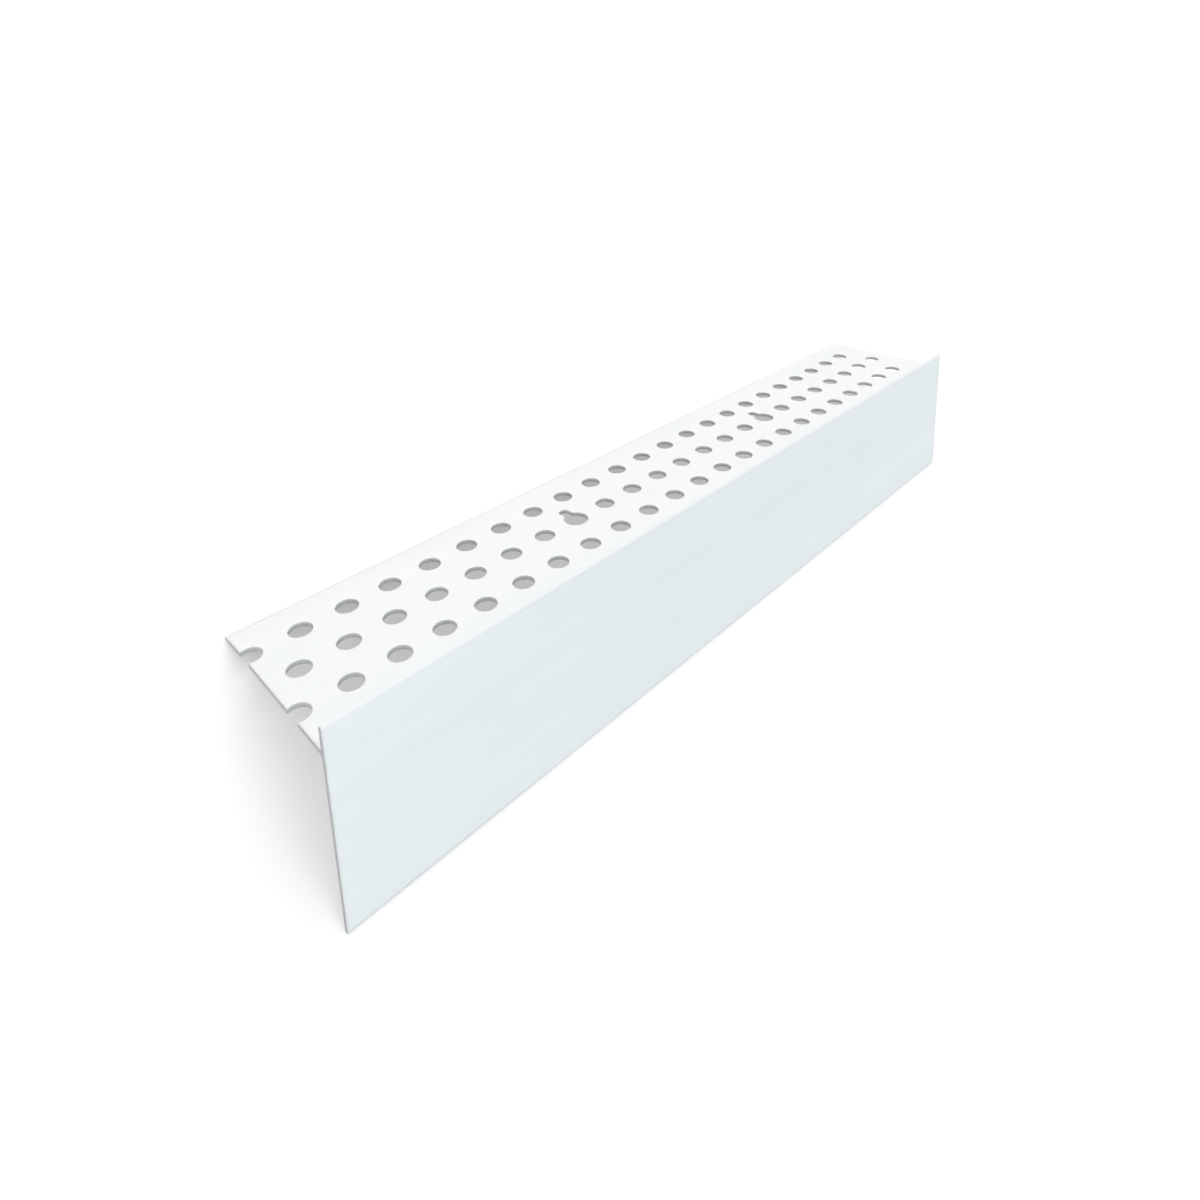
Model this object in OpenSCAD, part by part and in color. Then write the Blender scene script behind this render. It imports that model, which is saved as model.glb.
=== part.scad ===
// Drywall corner bead: one extruded PVC angle with a smooth face leg and a
// perforated mud flange. The face leg runs a little past the flange's outer
// face, and that lip, the ground, sets the depth of the joint compound.
// All sizes are in millimetres. The bead lies on the free edges of its two
// legs with the corner up. X runs along the bead, Z is up, and the origin is
// on the floor below the middle of the bead.

/* [Stock] */
// Length of the piece
length = 176; // [60:1:400]
// Wall thickness of both legs
wall = 0.8; // [0.6:0.05:1.2]

/* [Face leg] */
// Height of the smooth face leg, from its lower edge to the top of the ground
leg_h = 31.75; // [20:0.25:60]
// Height of the ground above the flange's outer face
ground_h = 3.7; // [1.5:0.1:8]

/* [Mud flange] */
// Width of the flange, from the face leg's outer face to the free edge
flange_w = 31.75; // [31:0.25:60]
// Width of the strip that thins out towards the free edge
feather_w = 4.5; // [2:0.25:5]
// Thickness left at the free edge
edge_t = 0.5; // [0.3:0.05:0.6]

/* [Fillets] */
// Radius between the flange's back and the face leg
back_fillet = 0.6; // [0.2:0.1:2]
// Radius between the flange's outer face and the ground
ground_fillet = 0.4; // [0.2:0.1:1]

/* [Perforation] */
// Diameter of the punched holes
hole_d = 3.6; // [2:0.1:4]
// Distance between the holes of a row
pitch = 7.55; // [6.5:0.05:15]
// Number of rows, of which every second one is shifted by half a pitch
rows = 3; // [1:1:3]
// Distance of the first row from the face leg's outer face
first_row = 8.9; // [7:0.1:10]
// Distance between the rows
row_spacing = 7.8; // [6:0.1:8.5]
// Distance of the first hole's centre from the near end, which may cut the hole open
first_hole = 0.8; // [0.5:0.1:10]
// Least distance of a hole's centre from the far end
end_margin = 4; // [3:0.25:20]

/* [Nail slots] */
// Diameter of the keyhole's round head, which takes the place of a hole
slot_head_d = 4.4; // [2.6:0.1:5]
// Width of the keyhole's narrow part
slot_w = 2; // [1.2:0.1:2.4]
// Length from the head's centre to the end of the narrow part
slot_reach = 4.2; // [3:0.1:5]
// Number of the first hole in a shifted row that is a keyhole
slot_first = 7; // [0:1:20]
// Number of pitches from one keyhole to the next
slot_every = 8; // [2:1:20]

/* [Hidden] */
$fn = 64;
// How far a cutting tool reaches past what it cuts
clear = 1;
leg_low = leg_h - ground_h;
leg_round = wall / 2;
edge_round = edge_t / 2;

// Centres of the rounded free edges in the bead's own section, where the first
// value is the distance from the leg's outer face and the second is the height
// above the flange's outer face
leg_edge = [leg_round, leg_round - leg_low];
flange_edge = [flange_w - edge_round, edge_round - wall];

// Lean of the section that brings both free edges down to the same level
edge_span = flange_edge - leg_edge;
lean = asin((leg_round - edge_round) / norm(edge_span)) + atan2(edge_span[1], edge_span[0]);

// A point of the section once it leans
function leaned(p) = [
    p[0] * cos(lean) + p[1] * sin(lean),
    p[1] * cos(lean) - p[0] * sin(lean)
];
floor_z = leaned(leg_edge)[1] - leg_round;
front_y = leaned(leg_edge)[0] - leg_round;
back_y = leaned(flange_edge)[0] + edge_round;

// A filled inside corner of radius r at the origin, open towards +X and +Y
module inside_corner(r) {
    difference() {
        translate([-leg_round, -leg_round]) square(r + leg_round);
        translate([r, r]) circle(r);
    }
}

// Section of the face leg, rounded at its lower edge and at the top of the ground
module leg_section() {
    translate([0, leg_edge[1]]) square([wall, leg_h - wall]);
    translate(leg_edge) circle(leg_round);
    translate([leg_round, ground_h - leg_round]) circle(leg_round);
}

// Section of the mud flange, flat on its back and feathered on its outer face
module flange_section() {
    polygon([
        [leg_round, 0],
        [leg_round, -wall],
        [flange_edge[0], -wall],
        [flange_edge[0], edge_t - wall],
        [flange_w - feather_w, 0]
    ]);
    translate(flange_edge) circle(edge_round);
}

// Section of the whole bead
module bead_section() {
    leg_section();
    flange_section();
    translate([wall, 0]) inside_corner(ground_fillet);
    translate([wall, -wall]) rotate(-90) inside_corner(back_fillet);
}

// The tool that punches one round hole, centred on the flange's outer face
module hole_punch(d) {
    translate([0, 0, -wall - clear]) cylinder(d = d, h = wall + 2 * clear);
}

// The tool that punches one keyhole, with its narrow part towards the free edge
module keyhole_punch() {
    hole_punch(slot_head_d);
    translate([0, slot_reach - slot_w / 2, 0]) hole_punch(slot_w);
    translate([-slot_w / 2, 0, -wall - clear]) cube([slot_w, slot_reach - slot_w / 2, wall + 2 * clear]);
}

// All punched openings, with the near end at X = 0
module perforation() {
    for (row = [0 : rows - 1]) {
        shifted = row % 2 == 1;
        start = first_hole + (shifted ? pitch / 2 : 0);
        last = floor((length - end_margin - start) / pitch);
        for (i = [0 : last])
            translate([start + i * pitch, first_row + row * row_spacing, 0])
                if (shifted && i >= slot_first && (i - slot_first) % slot_every == 0)
                    keyhole_punch();
                else
                    hole_punch(hole_d);
    }
}

// The bead as it lies on the floor
module corner_bead() {
    color([0.90, 0.93, 0.94])
    translate([-length / 2, -(front_y + back_y) / 2, -floor_z])
    rotate([-lean, 0, 0])
    difference() {
        rotate([90, 0, 90]) linear_extrude(length) bead_section();
        perforation();
    }
}

corner_bead();
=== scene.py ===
# %% [markdown]
# # A drywall corner bead
# A corner bead is a strip of extruded white PVC that gives the outer corner of a
# plastered wall a straight, tough edge. Its smooth leg stays in sight. Its thin
# flange is full of holes and disappears under joint compound. This lesson dresses
# one short length of it. The imported CAD frame says how big the bead is and how it
# lies, so it is loaded first.

# %% Load the frame
import math

import bmesh
import bpy
import numpy as np
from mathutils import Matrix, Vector


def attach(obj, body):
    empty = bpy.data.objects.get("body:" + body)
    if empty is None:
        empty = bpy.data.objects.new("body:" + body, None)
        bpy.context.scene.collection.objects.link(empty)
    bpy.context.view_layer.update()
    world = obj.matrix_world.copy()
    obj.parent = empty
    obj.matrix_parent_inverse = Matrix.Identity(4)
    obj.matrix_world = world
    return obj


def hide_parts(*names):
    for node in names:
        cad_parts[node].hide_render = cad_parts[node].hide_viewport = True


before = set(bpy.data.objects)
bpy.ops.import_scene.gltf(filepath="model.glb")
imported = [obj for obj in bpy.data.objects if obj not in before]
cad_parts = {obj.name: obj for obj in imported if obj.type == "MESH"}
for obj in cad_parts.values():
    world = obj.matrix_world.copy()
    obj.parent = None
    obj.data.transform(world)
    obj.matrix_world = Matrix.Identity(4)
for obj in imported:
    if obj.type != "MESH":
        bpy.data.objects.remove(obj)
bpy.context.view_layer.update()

# %% [markdown]
# ## Camera
# The camera looks along the bead from above its near end. A short lens close by
# makes the near end large and the far end small. The picture that it matches is
# cropped off its middle, so the lens is shifted rather than the camera turned:
# turning it would change how the long edges run together.

# %% Camera
scene = bpy.context.scene
scene.view_settings.view_transform = "Standard"

camera = bpy.data.objects.new("camera", bpy.data.cameras.new("camera"))
scene.collection.objects.link(camera)
scene.camera = camera
camera.data.sensor_width = 36
camera.data.lens = 24.149
camera.data.shift_y = -0.27422
camera.data.clip_start = 0.005
camera.location = (-0.119674, -0.013221, 0.135069)
camera.rotation_euler = [math.radians(angle) for angle in (45.1534, -26.1317, -37.7784)]
print("Camera at", tuple(camera.location), "with a lens of", camera.data.lens, "mm")

# %% [markdown]
# ## Light
# A white object on a white ground only reads if its faces get different amounts of
# light. The bead lies like a tent. The strongest lamp is behind it, faces the
# perforated flange and makes it the lightest side. A cooler one low in front is for
# the face leg. It shines from under the plane of the flange, so the walls of the
# holes that face it get none of it, and stay darker than the flange. A weak one
# overhead reaches both sides. None shines along the bead, so the cut ends stay greyer
# than the broad faces. Suns with a wide disc are used: their shadows are as soft as a
# studio softbox's, and the floor gets the same light everywhere.

# %% Lamps
def lamp(name, towards, strength, colour, disc):
    """A sun that the bead sees in the direction towards, with a disc that many degrees wide."""
    sun = bpy.data.lights.new(name, "SUN")
    sun.energy = strength
    sun.color = colour
    sun.angle = math.radians(disc)
    holder = bpy.data.objects.new(name, sun)
    holder.rotation_mode = "QUATERNION"
    holder.rotation_quaternion = Vector(towards).to_track_quat("Z", "Y")
    scene.collection.objects.link(holder)
    return holder


lamps = [
    lamp("flange_light", towards=(-0.08, 0.72, 0.68), strength=2.14, colour=(1.0, 0.963, 0.948), disc=95),
    lamp("leg_light", towards=(0.15, -0.955, 0.26), strength=1.22, colour=(0.89, 1.0, 1.03), disc=30),
    lamp("top_light", towards=(0.1, -0.17, 0.98), strength=0.80, colour=(1.0, 1.0, 1.0), disc=80),
]
print("Lamps:", [holder.name for holder in lamps])

# %% [markdown]
# The room is white to the camera and to reflections, and dimmer as a source of
# light, so the picture gets a white ground without more light on the bead. The
# floor does the same: where it is lit, it looks white to the camera, but it throws
# back less than that, which keeps the cut ends and the inside of the tent grey. Both
# mix two colours by the kind of ray that asks.

# %% Room
ROOM_AS_LIGHT, ROOM_AS_SEEN = (0.20, 0.203, 0.206), (1, 1, 1)
# A Mix node has sockets for numbers, vectors and colours. These are the ones for colours.
MIX_FACTOR, MIX_FIRST, MIX_SECOND, MIX_RESULT = 0, 6, 7, 2


def node(tree, kind, **settings):
    """A new node of a kind. Settings that are sockets of the node set their values."""
    made = tree.nodes.new(kind)
    for key, value in settings.items():
        if key in made.inputs:
            made.inputs[key].default_value = value
        else:
            setattr(made, key, value)
    return made


def seen_directly(tree):
    """Socket that is 1 for rays from the camera, through glass or off gloss, and 0 for light."""
    path = node(tree, "ShaderNodeLightPath")
    either = node(tree, "ShaderNodeMath", operation="MAXIMUM")
    every = node(tree, "ShaderNodeMath", operation="MAXIMUM")
    tree.links.new(path.outputs["Is Camera Ray"], either.inputs[0])
    tree.links.new(path.outputs["Is Glossy Ray"], either.inputs[1])
    tree.links.new(either.outputs[0], every.inputs[0])
    tree.links.new(path.outputs["Is Transmission Ray"], every.inputs[1])
    return every.outputs[0]


def two_colours(tree, factor, first, second):
    """Output that is the first colour where factor is 0 and the second where it is 1.

    The first may be another node's output.
    """
    mix = node(tree, "ShaderNodeMix", data_type="RGBA")
    if isinstance(first, tuple):
        mix.inputs[MIX_FIRST].default_value = (*first, 1)
    else:
        tree.links.new(first, mix.inputs[MIX_FIRST])
    mix.inputs[MIX_SECOND].default_value = (*second, 1)
    tree.links.new(factor, mix.inputs[MIX_FACTOR])
    return mix.outputs[MIX_RESULT]


room = bpy.data.worlds.new("white_room")
scene.world = room
room.use_nodes = True
room_tree = room.node_tree
room_colour = two_colours(room_tree, seen_directly(room_tree), ROOM_AS_LIGHT, ROOM_AS_SEEN)
room_tree.links.new(room_colour, room_tree.nodes["Background"].inputs["Color"])
print("Room:", room.name)

# %% Floor
FLOOR_HALF, FLOOR_DROP = 4.0, 0.00002
FLOOR_AS_LIGHT, FLOOR_AS_SEEN, FLOOR_GLOW = 0.45, 0.72, 0.36

floor_mesh = bpy.data.meshes.new("floor")
corners = np.array([(-1, -1), (1, -1), (1, 1), (-1, 1)]) * FLOOR_HALF
floor_mesh.from_pydata(np.c_[corners, np.full(4, -FLOOR_DROP)].tolist(), [], [(0, 1, 2, 3)])
floor = bpy.data.objects.new("floor", floor_mesh)
scene.collection.objects.link(floor)

floor_paint = bpy.data.materials.new("pale_floor")
floor_paint.use_nodes = True
paint_tree = floor_paint.node_tree
paint = paint_tree.nodes["Principled BSDF"]
paint.inputs["Roughness"].default_value = 0.9
paint.inputs["Specular IOR Level"].default_value = 0.0
paint.inputs["Emission Strength"].default_value = 1.0
seen = seen_directly(paint_tree)
for socket, as_light, as_seen in (
    ("Base Color", FLOOR_AS_LIGHT, FLOOR_AS_SEEN),
    ("Emission Color", 0.0, FLOOR_GLOW),
):
    paint_colour = two_colours(paint_tree, seen, (as_light,) * 3, (as_seen,) * 3)
    paint_tree.links.new(paint_colour, paint.inputs[socket])
floor_mesh.materials.append(floor_paint)
print("Floor is", 2 * FLOOR_HALF, "m wide")

# %% [markdown]
# ## The section
# The bead is extruded, so nearly all of its shape is one line in its section. The
# line is drawn upright: y runs back from the face leg's outer face and z runs up
# from the flange's outer face. The leg stands past the flange at the top, and that
# rounded lip, the ground, is the guide for the trowel. The flange thins out towards
# its free edge, so that the compound can be feathered over it.

# %% Sizes in millimetres
LENGTH, WALL = 176.0, 0.8
LEG_H, GROUND_H = 31.75, 3.7
FLANGE_W, FEATHER_W, EDGE_T = 31.75, 4.5, 0.5
BACK_FILLET, GROUND_FILLET = 0.6, 0.4
MM_IN_M = 1000

leg_round, edge_round = WALL / 2, EDGE_T / 2
leg_edge = np.array([leg_round, leg_round - (LEG_H - GROUND_H)])
flange_edge = np.array([FLANGE_W - edge_round, edge_round - WALL])
print("Rounded free edges at", leg_edge, "and", flange_edge)

# %% [markdown]
# The upright section is then laid down as the real bead lies when nobody holds it:
# on the free edges of both legs, with the corner up. Both edges are round, so the
# lean is the slope of the line between their centres, corrected for the difference
# of their radii.

# %% Lay the section on the floor
edge_span = flange_edge - leg_edge
slope = math.atan2(edge_span[1], edge_span[0])
lean = slope + math.asin((leg_round - edge_round) / np.hypot(*edge_span))
turn = np.array([[math.cos(lean), -math.sin(lean)], [math.sin(lean), math.cos(lean)]])
leg_foot, flange_foot = leg_edge @ turn, flange_edge @ turn
middle_y = (leg_foot[0] - leg_round + flange_foot[0] + edge_round) / 2
floor_z = leg_foot[1] - leg_round


def lay_down(points):
    """Points in millimetres along, back and up in the section, as metres in the frame.

    They are turned by the lean about X, centred, and moved on to the floor.
    """
    laid = points.copy()
    laid[:, 0] -= LENGTH / 2
    laid[:, 1:] = points[:, 1:] @ turn - (middle_y, floor_z)
    return laid / MM_IN_M


print("Lean of the section:", round(math.degrees(lean), 3), "degrees")

# %% [markdown]
# The section's line has a gap on both faces of the flange, where the holes will be.
# It is drawn in two parts from straight runs and bends: one goes from the gap round
# the whole leg and back to the gap, the other goes round the free edge. The gap is as
# wide as three rows of holes, and the middle row gets the most of it, because it will
# also have the longest openings.

# %% Lines of the section
ROW_BORDERS = (5.0, 12.8, 21.7, FLANGE_W - FEATHER_W)


def run(start, end, steps):
    """Even steps along the straight line from start to end, without the end."""
    t = np.arange(steps)[:, None] / steps
    return (1 - t) * np.array(start) + t * np.array(end)


def bend(centre, radius, start, end, steps):
    """Even steps round a circle from one angle in degrees to another, without the end."""
    angle = np.radians(start + (end - start) * np.arange(steps) / steps)
    return np.array(centre) + radius * np.stack([np.cos(angle), np.sin(angle)], 1)


inner, outer = ROW_BORDERS[0], ROW_BORDERS[-1]
nose = (leg_round, GROUND_H - leg_round)
leg_line = np.concatenate([
    run((inner, 0), (WALL + GROUND_FILLET, 0), 4),
    bend((WALL + GROUND_FILLET, GROUND_FILLET), GROUND_FILLET, 270, 180, 6),
    run((WALL, GROUND_FILLET), (WALL, nose[1]), 3),
    bend(nose, leg_round, 0, 180, 12),
    run((0, nose[1]), (0, leg_edge[1]), 10),
    bend(leg_edge, leg_round, 180, 360, 10),
    run((WALL, leg_edge[1]), (WALL, -WALL - BACK_FILLET), 6),
    bend((WALL + BACK_FILLET, -WALL - BACK_FILLET), BACK_FILLET, 180, 90, 6),
    run((WALL + BACK_FILLET, -WALL), (inner, -WALL), 3),
    [(inner, -WALL)],
])
edge_line = np.concatenate([
    run((outer, -WALL), (flange_edge[0], -WALL), 4),
    bend(flange_edge, edge_round, 270, 450, 8),
    run((flange_edge[0], EDGE_T - WALL), (outer, 0), 5),
    [(outer, 0)],
])
print("Section points:", len(leg_line), "round the leg,", len(edge_line), "round the free edge")

# %% [markdown]
# ## Surfaces along the bead
# Each line is carried along X through the same stations. A station falls on every
# border between two holes and at even steps between them, so that the swept parts
# and the parts round the holes share their points and close without seams.

# %% Stations and sweeps
PITCH, FIRST_HOLE, HOLES = 7.55, 0.8, 23
STEPS = 12

last_border = FIRST_HOLE + HOLES * PITCH
stations = np.concatenate([
    [0, FIRST_HOLE / 2],
    FIRST_HOLE + np.arange(HOLES * STEPS + 1) * PITCH / STEPS,
    [(last_border + LENGTH) / 2, LENGTH],
])


def sweep(line):
    """Grid whose point (i, j) is point j of a section line at station i."""
    grid = np.empty((len(stations), len(line), 3))
    grid[..., 0] = stations[:, None]
    grid[..., 1:] = line
    return grid


swept = [sweep(leg_line), sweep(edge_line)]
print("Swept grids:", [grid.shape for grid in swept])

# %% [markdown]
# ## Holes
# The flange is punched with three rows of round holes, so that the compound can
# squeeze through and lock it to the wall. The middle row is shifted by half a pitch,
# and here and there it has a keyhole slot for a nail. A boolean would leave long
# thin triangles that shade badly. Instead each hole gets a cell of the flange, and a
# collar fills the cell: one parameter goes round the hole, the other goes from the
# cell's border to the rim, down the wall of the hole and out to the border again on
# the back. A punch draws the plastic down a little where it enters and leaves a low
# burr where it comes out, so the rim is dished in front and raised behind.

# %% Collars
DISH, DISH_W = 0.07, 0.5
BURR, BURR_W = 0.04, 0.3
# The outer rings lie at these shares of the way from the rim to the cell's border.
CELL_SHARES = np.array([1, 0.6])
# The inner rings lie at these distances from the rim.
RIM_BAND = np.array([DISH_W, 0.22, 0])
RINGS = len(CELL_SHARES) + len(RIM_BAND)
WALL_ROWS = [RINGS - 1, RINGS]


def border(x, y):
    """Points round a cell, anticlockwise from its first corner."""
    sides = [
        np.stack(np.broadcast_arrays(x[:-1], y[0]), 1),
        np.stack(np.broadcast_arrays(x[-1], y[:-1]), 1),
        np.stack(np.broadcast_arrays(x[:0:-1], y[-1]), 1),
        np.stack(np.broadcast_arrays(x[0], y[:0:-1]), 1),
    ]
    return np.concatenate(sides)


def nearness(away, width):
    """1 at the rim and 0 from a width away, falling with the square of what is left of the width."""
    return np.clip(1 - away / width, 0, 1) ** 2


def collar(cell, rim):
    """Rings from the cell's border to the rim, down the wall, and back to the border behind.

    A ring's points lie on straight ways from the rim to the border. Near the rim the outer face
    sinks by the dish times its nearness, and the back swells by the burr in the same way.
    """
    way = cell - rim
    full = np.linalg.norm(way, axis=1)
    away = np.concatenate([CELL_SHARES[:, None] * full, RIM_BAND[:, None] + 0 * full])
    flat = rim + away[..., None] * way / full[:, None]
    outer_face = -DISH * nearness(away, DISH_W)
    back_face = -WALL - BURR * nearness(away, BURR_W)
    rings = np.concatenate([flat, rim[None], flat[::-1]])
    levels = np.concatenate([outer_face, 0 * full[None] - WALL / 2, back_face[::-1]])
    return np.dstack([rings, levels])


print("Rings in a collar:", 2 * RINGS + 1)

# %% Rims
HOLE_R = 1.8
SLOT_HEAD_R, SLOT_HALF, SLOT_REACH = 2.2, 1.0, 4.2
ROUND_STEPS = 4 * STEPS
SLOT_WALL_STEPS, SLOT_END_STEPS = 4, 10


def round_rim(centre):
    """Circle in even steps that starts towards the cell's first corner."""
    return bend(centre, HOLE_R, -135, 225, ROUND_STEPS)


def cut_rim(centre, steps):
    """Arc of the circle that the near end leaves, from one cut to the other.

    It ends at the angle where the centre's distance from the end plus radius times cosine is 0.
    """
    limit = math.degrees(math.acos(-centre[0] / HOLE_R))
    arc = bend(centre, HOLE_R, -limit, limit, steps)
    return np.concatenate([arc, [[0, 2 * centre[1] - arc[0, 1]]]])


def keyhole_rim(centre):
    """Slot wall, round end, slot wall and the rest of the head, in turn.

    The list is then rolled, so that the slot's end meets the middle of the cell's far side.
    """
    corner = math.degrees(math.acos(SLOT_HALF / SLOT_HEAD_R))
    neck = SLOT_HEAD_R * math.sin(math.radians(corner))
    end = SLOT_REACH - SLOT_HALF
    slot_steps = 2 * SLOT_WALL_STEPS + SLOT_END_STEPS
    outline = np.concatenate([
        run((SLOT_HALF, neck), (SLOT_HALF, end), SLOT_WALL_STEPS),
        bend((0, end), SLOT_HALF, 0, 180, SLOT_END_STEPS),
        run((-SLOT_HALF, end), (-SLOT_HALF, neck), SLOT_WALL_STEPS),
        bend((0, 0), SLOT_HEAD_R, 180 - corner, 360 + corner, ROUND_STEPS - slot_steps),
    ])
    far_side_middle = 2 * STEPS + STEPS // 2
    return np.array(centre) + np.roll(outline, far_side_middle - slot_steps // 2, axis=0)


print("Points round a hole:", len(round_rim((0, 0))), "and a keyhole:", len(keyhole_rim((0, 0))))

# %% [markdown]
# The cells of a row stand side by side, so one collar is made for each kind of
# opening and repeated along the row. The near end cuts the first hole of the first
# and of the last row open: these collars are not closed, and start and end on the end
# face. What is left beside the first and the last cell is plain.

# %% Rows of cells
FIRST_ROW, ROW_SPACING = 8.9, 7.8
SLOT_AT = (7, 15)
TOLERANCE = 1e-6


def between(low, high):
    """The stations from low to high."""
    return stations[(stations > low - TOLERANCE) & (stations < high + TOLERANCE)]


def plain(x, y):
    """Outer and back grids of a flange part without holes."""
    top = np.empty((len(y), len(x), 3))
    top[..., 0], top[..., 1], top[..., 2] = x, y[:, None], 0
    back = top.swapaxes(0, 1) - (0, 0, WALL)
    return [top, back]


closed_collars, open_collars = [], []
for row in range(len(ROW_BORDERS) - 1):
    y = np.linspace(ROW_BORDERS[row], ROW_BORDERS[row + 1], STEPS + 1)
    hole_y = FIRST_ROW + row * ROW_SPACING
    shifted = row % 2 == 1
    start = FIRST_HOLE + (PITCH / 2 if shifted else 0)
    full = np.arange(0 if shifted else 1, HOLES)
    keyholes = np.isin(full, SLOT_AT) & shifted

    x = start + np.linspace(-0.5, 0.5, STEPS + 1) * PITCH
    cell = border(x, y)
    for rim, numbers in (
        (round_rim((start, hole_y)), full[~keyholes]),
        (keyhole_rim((start, hole_y)), full[keyholes]),
    ):
        step = np.stack([numbers * PITCH, 0 * numbers, 0 * numbers], 1)
        closed_collars.extend(collar(cell, rim) + step[:, None, None])
    swept += plain(between(start + (HOLES - 0.5) * PITCH, LENGTH), y)
    if shifted:
        swept += plain(between(0, start - PITCH / 2), y)
    else:
        x = between(0, start + PITCH / 2)
        cell = border(x, y)[: 2 * len(x) + len(y) - 2]
        open_collars.append(collar(cell, cut_rim((start, hole_y), len(cell) - 1)))
print("Collars:", len(closed_collars), "closed and", len(open_collars), "cut open")

# %% [markdown]
# ## One closed skin
# All grids become one list of points and four-cornered faces. Points that coincide
# are welded by rounding them to a tenth of a micrometre. Two things are kept for the
# materials: which faces were sheared by a tool, and how near a point is to a rim.

# %% Join the grids
HALO_W = 0.5
WELD = 1e-4


def grid_faces(rows, columns, ring):
    """Corners of every cell of a grid, as numbers of its points.

    A ring joins its last column to its first.
    """
    number = np.arange(rows * columns).reshape(rows, columns)
    if ring:
        number = np.concatenate([number, number[:, :1]], 1)
    return np.stack([number[:-1, :-1], number[:-1, 1:], number[1:, 1:], number[1:, :-1]], -1)


points, faces, sheared, halo = [], [], [], []
count = 0
for kind, grids in (("swept", swept), ("open", open_collars), ("ring", closed_collars)):
    for grid in grids:
        cells = grid_faces(*grid.shape[:2], kind == "ring")
        tool = np.zeros(cells.shape[:2], int)
        near = np.zeros(grid.shape[:2])
        if kind != "swept":
            tool[WALL_ROWS] = 1
            from_rim = np.linalg.norm(grid[..., :2] - grid[RINGS, :, :2], axis=-1)
            near = np.exp(-from_rim / HALO_W)
        points.append(grid.reshape(-1, 3))
        faces.append(cells.reshape(-1, 4) + count)
        sheared.append(tool.ravel())
        halo.append(near.ravel())
        count += grid.shape[0] * grid.shape[1]
points, faces = np.concatenate(points), np.concatenate(faces)
sheared, halo = np.concatenate(sheared), np.concatenate(halo)

key = np.round(points / WELD).astype(np.int64)
_, first, welded = np.unique(key, axis=0, return_index=True, return_inverse=True)
faces = welded.ravel()[faces]
print("Points:", count, "before welding and", len(first), "after")

# %% [markdown]
# The two cut ends are still open. Each closed line of open edges is filled with one
# flat face, so the near end gets three faces, because two holes interrupt it. The
# shell is then closed, and its volume is printed: it is positive only if every face
# points outwards.

# %% The bead's mesh
bead_mesh = bpy.data.meshes.new("corner_bead_skin")
bead_mesh.from_pydata(lay_down(points[first]).tolist(), [], faces.tolist())
bead_mesh.polygons.foreach_set("material_index", sheared)
bead_mesh.attributes.new("punch_halo", "FLOAT", "POINT").data.foreach_set("value", halo[first])

shell = bmesh.new()
shell.from_mesh(bead_mesh)
open_edges = [edge for edge in shell.edges if edge.is_boundary]
caps = bmesh.ops.edgeloop_fill(shell, edges=open_edges, mat_nr=1)["faces"]
bmesh.ops.recalc_face_normals(shell, faces=shell.faces)
loose = sum(not edge.is_manifold for edge in shell.edges)
print("End faces:", len(caps), "open edges left:", loose)
print("Volume in mm3:", round(shell.calc_volume(signed=True) * MM_IN_M**3, 1))
shell.to_mesh(bead_mesh)
shell.free()
bead_mesh.polygons.foreach_set("use_smooth", np.ones(len(bead_mesh.polygons), bool))

# %% [markdown]
# Nothing that was cut is perfectly sharp. A small bevel eases the rims and the cut
# ends, so that they catch a thin line of light, and weighted normals keep the broad
# faces flat beside it.

# %% The bead
EASED_W, EASED_FROM = 0.00008, math.radians(40)

bead = bpy.data.objects.new("corner_bead_skin", bead_mesh)
scene.collection.objects.link(bead)
eased = bead.modifiers.new("eased_edges", "BEVEL")
eased.width = EASED_W
eased.segments = 2
eased.limit_method = "ANGLE"
eased.angle_limit = EASED_FROM
flat = bead.modifiers.new("flat_faces", "WEIGHTED_NORMAL")
flat.keep_sharp = True
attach(bead, "root")
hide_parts("corner_bead")
print("Bead:", len(bead_mesh.polygons), "faces before the bevel")

# %% [markdown]
# ## White PVC
# Extruded PVC is a cool white with a satin skin. The die leaves faint lines along the
# bead, the resin is a little cloudy, and the skin has a very fine grain. A picture of
# such a surface would have to be stretched over the bead, so these are noises in the
# bead's own coordinates instead, drawn out along it where the die made them. Each
# effect is a node group that takes the coordinates and puts out plain values. What the
# resin does, and the handling with the painted edge shade, is used by both materials.

# %% Die lines and resin
def effect(name, outputs):
    """A node group that takes a Vector and puts out named values."""
    tree = bpy.data.node_groups.new(name, "ShaderNodeTree")
    tree.interface.new_socket("Vector", in_out="INPUT", socket_type="NodeSocketVector")
    for output in outputs:
        tree.interface.new_socket(output, in_out="OUTPUT", socket_type="NodeSocketFloat")
    entry, leave = node(tree, "NodeGroupInput"), node(tree, "NodeGroupOutput")
    return tree, entry.outputs["Vector"], leave.inputs


def blots(tree, vector, size, detail):
    """Noise whose blots measure size millimetres along the bead, across it and through it."""
    place = node(tree, "ShaderNodeMapping", vector_type="TEXTURE")
    place.inputs["Rotation"].default_value = (-lean, 0, 0)
    place.inputs["Scale"].default_value = [millimetres / MM_IN_M for millimetres in size]
    noise = node(tree, "ShaderNodeTexNoise", Scale=1.0, Detail=detail, Roughness=0.55)
    tree.links.new(vector, place.inputs["Vector"])
    tree.links.new(place.outputs["Vector"], noise.inputs["Vector"])
    return noise.outputs["Fac"]


die_lines, at, out = effect("die_lines", ("Height", "Tone"))
die_lines.links.new(blots(die_lines, at, (220, 0.9, 0.9), 3.0), out["Height"])
die_lines.links.new(blots(die_lines, at, (300, 3.6, 3.6), 2.0), out["Tone"])

resin, at, out = effect("resin", ("Cloud", "Grain"))
resin.links.new(blots(resin, at, (34, 22, 22), 3.0), out["Cloud"])
resin.links.new(blots(resin, at, (0.4, 0.4, 0.4), 2.0), out["Grain"])
print("Effects:", die_lines.name, "and", resin.name)
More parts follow.
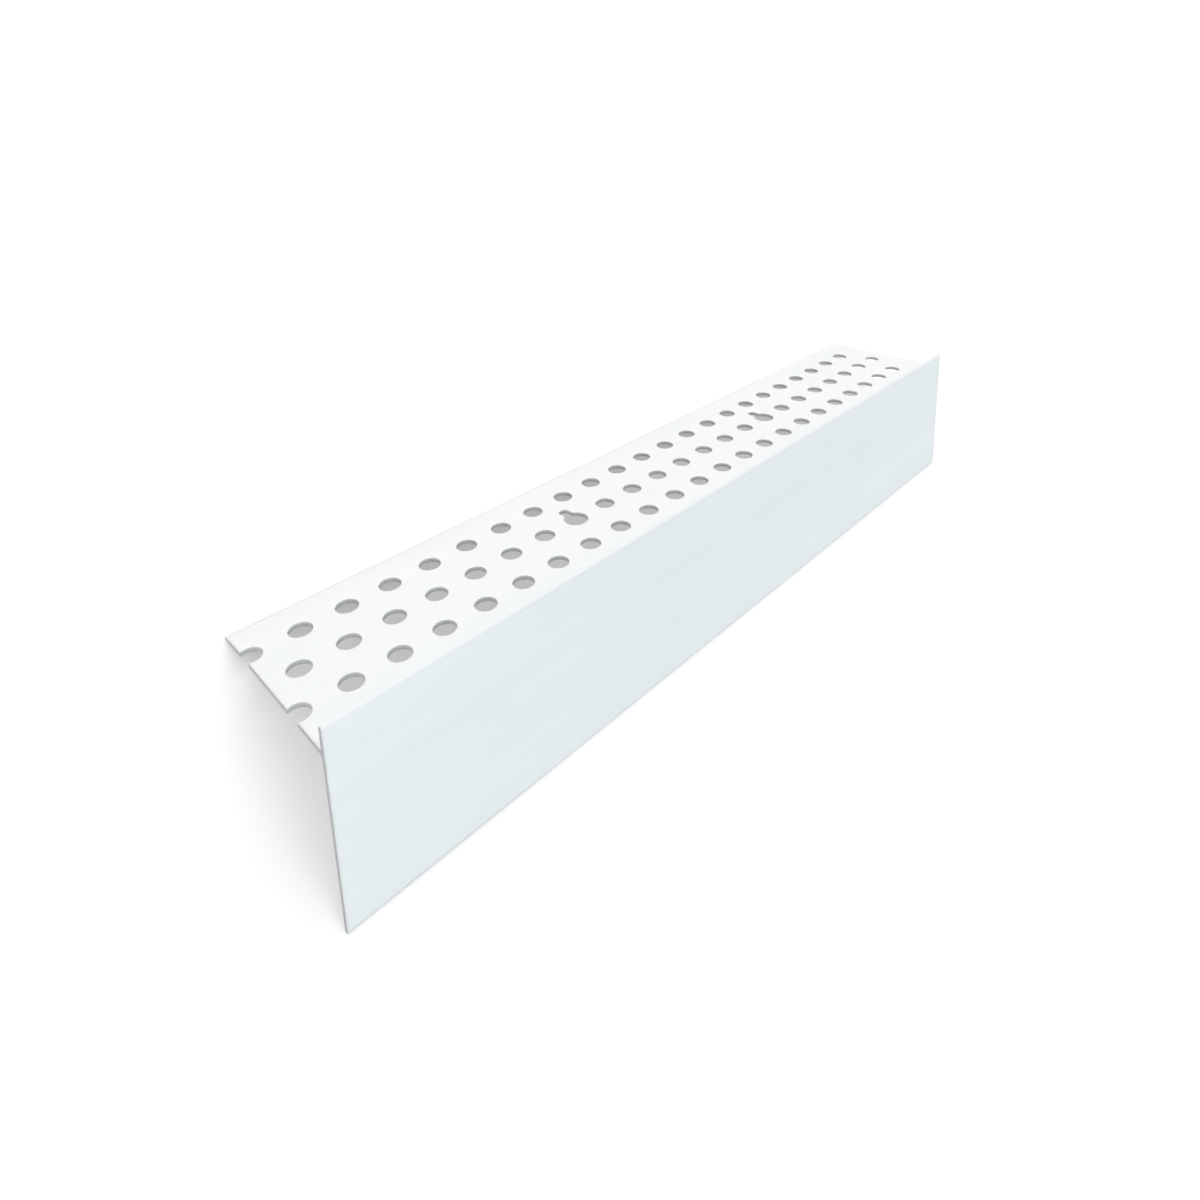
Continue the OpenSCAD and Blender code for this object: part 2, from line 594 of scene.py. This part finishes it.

# %% [markdown]
# Sliding out of the carton adds a few hair-thin scratches. They are the peaks of a
# drawn-out noise, and a second noise keeps them to patches. The free edges, on which
# the bead is set down, are painted grey: painted shade of where they meet the floor,
# partly also rubbing, the leg's greyer than the flange's. A thin grey line of painted
# shade lies beside the cut ends and greys the end faces. Both are found from how low a
# point lies and how far it is along the bead, and a noise breaks them up.

# %% Handling and painted edge shade
# Values of the noises between which scratches and their patches come up.
HAIRS, PATCHES = (0.69, 0.76), (0.45, 0.65)
# Heights in metres between which the painted shade of the free edges, partly rubbing, comes up.
EDGE_SHADE_START, EDGE_SHADE_FULL = 0.0009, 0.0004
# The flange's edge lies past this Y in metres, and the leg's lies past minus this Y.
EDGES_Y, FLANGE_EDGE_SHADE = 0.01, 0.5
# The painted grey line of shade beside the cut ends: its width in metres and how grey it gets.
CUT_SHADE_W, CUT_SHADE = 0.0004, 0.4
BREAKS, BROKEN_SHADE = (0.35, 0.6), 0.55


def spread(tree, value, low, high, to_low=0.0, to_high=1.0):
    """Value scaled from the range low to high to another range, and held inside it."""
    scaled = node(tree, "ShaderNodeMapRange")
    for socket, number in zip(list(scaled.inputs)[1:5], (low, high, to_low, to_high)):
        socket.default_value = number
    tree.links.new(value, scaled.inputs[0])
    return scaled.outputs[0]


def combine(tree, operation, first, second):
    """Two values, or a value and a number, put through one operation."""
    made = node(tree, "ShaderNodeMath", operation=operation)
    tree.links.new(first, made.inputs[0])
    if isinstance(second, (int, float)):
        made.inputs[1].default_value = second
    else:
        tree.links.new(second, made.inputs[1])
    return made.outputs[0]


wear_and_edge_shade, at, out = effect("wear_and_edge_shade", ("Scratch", "EdgeShadeAndRub"))
hairs = spread(wear_and_edge_shade, blots(wear_and_edge_shade, at, (26, 0.22, 0.22), 1.0), *HAIRS)
patches = spread(wear_and_edge_shade, blots(wear_and_edge_shade, at, (30, 14, 14), 2.0), *PATCHES)
wear_and_edge_shade.links.new(combine(wear_and_edge_shade, "MULTIPLY", hairs, patches), out["Scratch"])

axes = node(wear_and_edge_shade, "ShaderNodeSeparateXYZ")
wear_and_edge_shade.links.new(at, axes.inputs["Vector"])
# Painted shade along the free edges near the floor, partly also rubbing.
low = spread(wear_and_edge_shade, axes.outputs["Z"], EDGE_SHADE_START, EDGE_SHADE_FULL)
front = spread(wear_and_edge_shade, axes.outputs["Y"], EDGES_Y, -EDGES_Y, FLANGE_EDGE_SHADE, 1)
edges = combine(wear_and_edge_shade, "MULTIPLY", low, front)
from_middle = combine(wear_and_edge_shade, "ABSOLUTE", axes.outputs["X"], 0)
half_length = LENGTH / 2 / MM_IN_M
# Painted shade: a thin grey line beside each cut end, over the whole end face.
cuts = spread(wear_and_edge_shade, from_middle, half_length - CUT_SHADE_W, half_length, 0, CUT_SHADE)
broken = spread(wear_and_edge_shade, blots(wear_and_edge_shade, at, (4.5, 0.6, 0.6), 3.0), *BREAKS, BROKEN_SHADE, 1)
edge_shade_and_rub = combine(wear_and_edge_shade, "MULTIPLY", combine(wear_and_edge_shade, "MAXIMUM", edges, cuts), broken)
wear_and_edge_shade.links.new(edge_shade_and_rub, out["EdgeShadeAndRub"])
print("Effect:", wear_and_edge_shade.name)

# %% [markdown]
# The skin takes its colour from the die lines and the clouds. Round each hole the
# punch has stretched it, which makes PVC whiter and duller: the halo that was kept
# with the mesh says where. Scratches and the painted edge shade are greyer and duller.

# %% Skin of the bead
PVC_WHITE, PVC_SHADE = (0.884, 0.912, 0.919), (0.826, 0.865, 0.876)
STRESSED, SHADE_AND_WEAR_GREY = (0.90, 0.92, 0.925), (0.56, 0.55, 0.56)
# Nearly all values of a noise lie in this range.
NOISE = (0.3, 0.7)
TONE_SHARE, HALO_WHITER = 0.5, 0.4
EDGE_SHADE_GREYER, SCRATCH_GREYER = 0.8, 0.14
SATIN = (0.34, 0.42)
LINES_DULLER, HALO_DULLER, SHADE_AND_WEAR_DULLER = 0.06, 0.08, 0.3
GRAIN_HEIGHT, SCRATCH_HEIGHT = 0.35, -0.5
SKIN_RELIEF = 0.000012


def pvc(name):
    """A material with its shader and the bead's own coordinates.

    PVC lets a little light in, about half a millimetre deep.
    """
    material = bpy.data.materials.new(name)
    material.use_nodes = True
    tree = material.node_tree
    shader = tree.nodes["Principled BSDF"]
    shader.inputs["IOR"].default_value = 1.53
    shader.inputs["Subsurface Weight"].default_value = 0.12
    shader.inputs["Subsurface Radius"].default_value = (1, 1, 1)
    shader.inputs["Subsurface Scale"].default_value = 0.0005
    return material, tree, shader, node(tree, "ShaderNodeTexCoord").outputs["Object"]


def use(tree, group, vector):
    """The outputs of a node group placed in a material."""
    placed = node(tree, "ShaderNodeGroup", node_tree=group)
    tree.links.new(vector, placed.inputs["Vector"])
    return placed.outputs


def add_share(tree, value, other, share):
    """Value plus a share of another value."""
    return combine(tree, "ADD", value, combine(tree, "MULTIPLY", other, share))


def roughen(tree, shader, height, depth):
    """A bump of the given depth in metres on the shader's normal."""
    bump = node(tree, "ShaderNodeBump", Distance=depth)
    tree.links.new(height, bump.inputs["Height"])
    tree.links.new(bump.outputs["Normal"], shader.inputs["Normal"])


skin, tree, shader, here = pvc("pvc_skin")
lines, clouds, scratches_and_shade = (use(tree, group, here) for group in (die_lines, resin, wear_and_edge_shade))
halo_here = node(tree, "ShaderNodeAttribute", attribute_name="punch_halo").outputs["Fac"]
# Painted shade at the feet and by the cut ends greys the skin, together with real scratches.
shade_and_wear = combine(tree, "MULTIPLY", scratches_and_shade["EdgeShadeAndRub"], EDGE_SHADE_GREYER)
shade_and_wear = add_share(tree, shade_and_wear, scratches_and_shade["Scratch"], SCRATCH_GREYER)

line_tone = spread(tree, lines["Tone"], *NOISE, 0, TONE_SHARE)
cloud_tone = spread(tree, clouds["Cloud"], *NOISE, 0, TONE_SHARE)
colour = two_colours(tree, combine(tree, "ADD", line_tone, cloud_tone), PVC_WHITE, PVC_SHADE)
colour = two_colours(tree, combine(tree, "MULTIPLY", halo_here, HALO_WHITER), colour, STRESSED)
tree.links.new(two_colours(tree, shade_and_wear, colour, SHADE_AND_WEAR_GREY), shader.inputs["Base Color"])

rough = spread(tree, clouds["Cloud"], *NOISE, *SATIN)
rough = combine(tree, "ADD", rough, spread(tree, lines["Height"], *NOISE, 0, LINES_DULLER))
rough = add_share(tree, rough, halo_here, HALO_DULLER)
tree.links.new(add_share(tree, rough, shade_and_wear, SHADE_AND_WEAR_DULLER), shader.inputs["Roughness"])

relief = add_share(tree, lines["Height"], clouds["Grain"], GRAIN_HEIGHT)
relief = add_share(tree, relief, scratches_and_shade["Scratch"], SCRATCH_HEIGHT)
roughen(tree, shader, relief, SKIN_RELIEF)
bead_mesh.materials.append(skin)
print("Material:", skin.name)

# %% [markdown]
# Where a punch or a saw went through, the skin is gone. The sheared plastic is duller
# and has short marks along the way that the punch went.

# %% Sheared walls and ends
SHEARED_WHITE, SHEARED_SHADE = (0.86, 0.885, 0.89), (0.77, 0.80, 0.81)
SHEARED_EDGE_SHADE, SHEARED_ROUGH = 0.6, (0.55, 0.70)
TOOL_RELIEF = 0.00003

sheared_pvc, tree, shader, here = pvc("pvc_sheared")
clouds, scratches_and_shade = use(tree, resin, here), use(tree, wear_and_edge_shade, here)
tool_marks = blots(tree, here, (0.4, 0.4, 6), 3.0)
colour = two_colours(tree, spread(tree, tool_marks, *NOISE), SHEARED_WHITE, SHEARED_SHADE)
# Painted shade greys the cut ends, more where they come near the floor.
shade_and_wear = combine(tree, "MULTIPLY", scratches_and_shade["EdgeShadeAndRub"], SHEARED_EDGE_SHADE)
tree.links.new(two_colours(tree, shade_and_wear, colour, SHADE_AND_WEAR_GREY), shader.inputs["Base Color"])
rough = spread(tree, tool_marks, *NOISE, *SHEARED_ROUGH)
tree.links.new(rough, shader.inputs["Roughness"])
roughen(tree, shader, combine(tree, "ADD", tool_marks, clouds["Grain"]), TOOL_RELIEF)
bead_mesh.materials.append(sheared_pvc)
print("Material:", sheared_pvc.name)
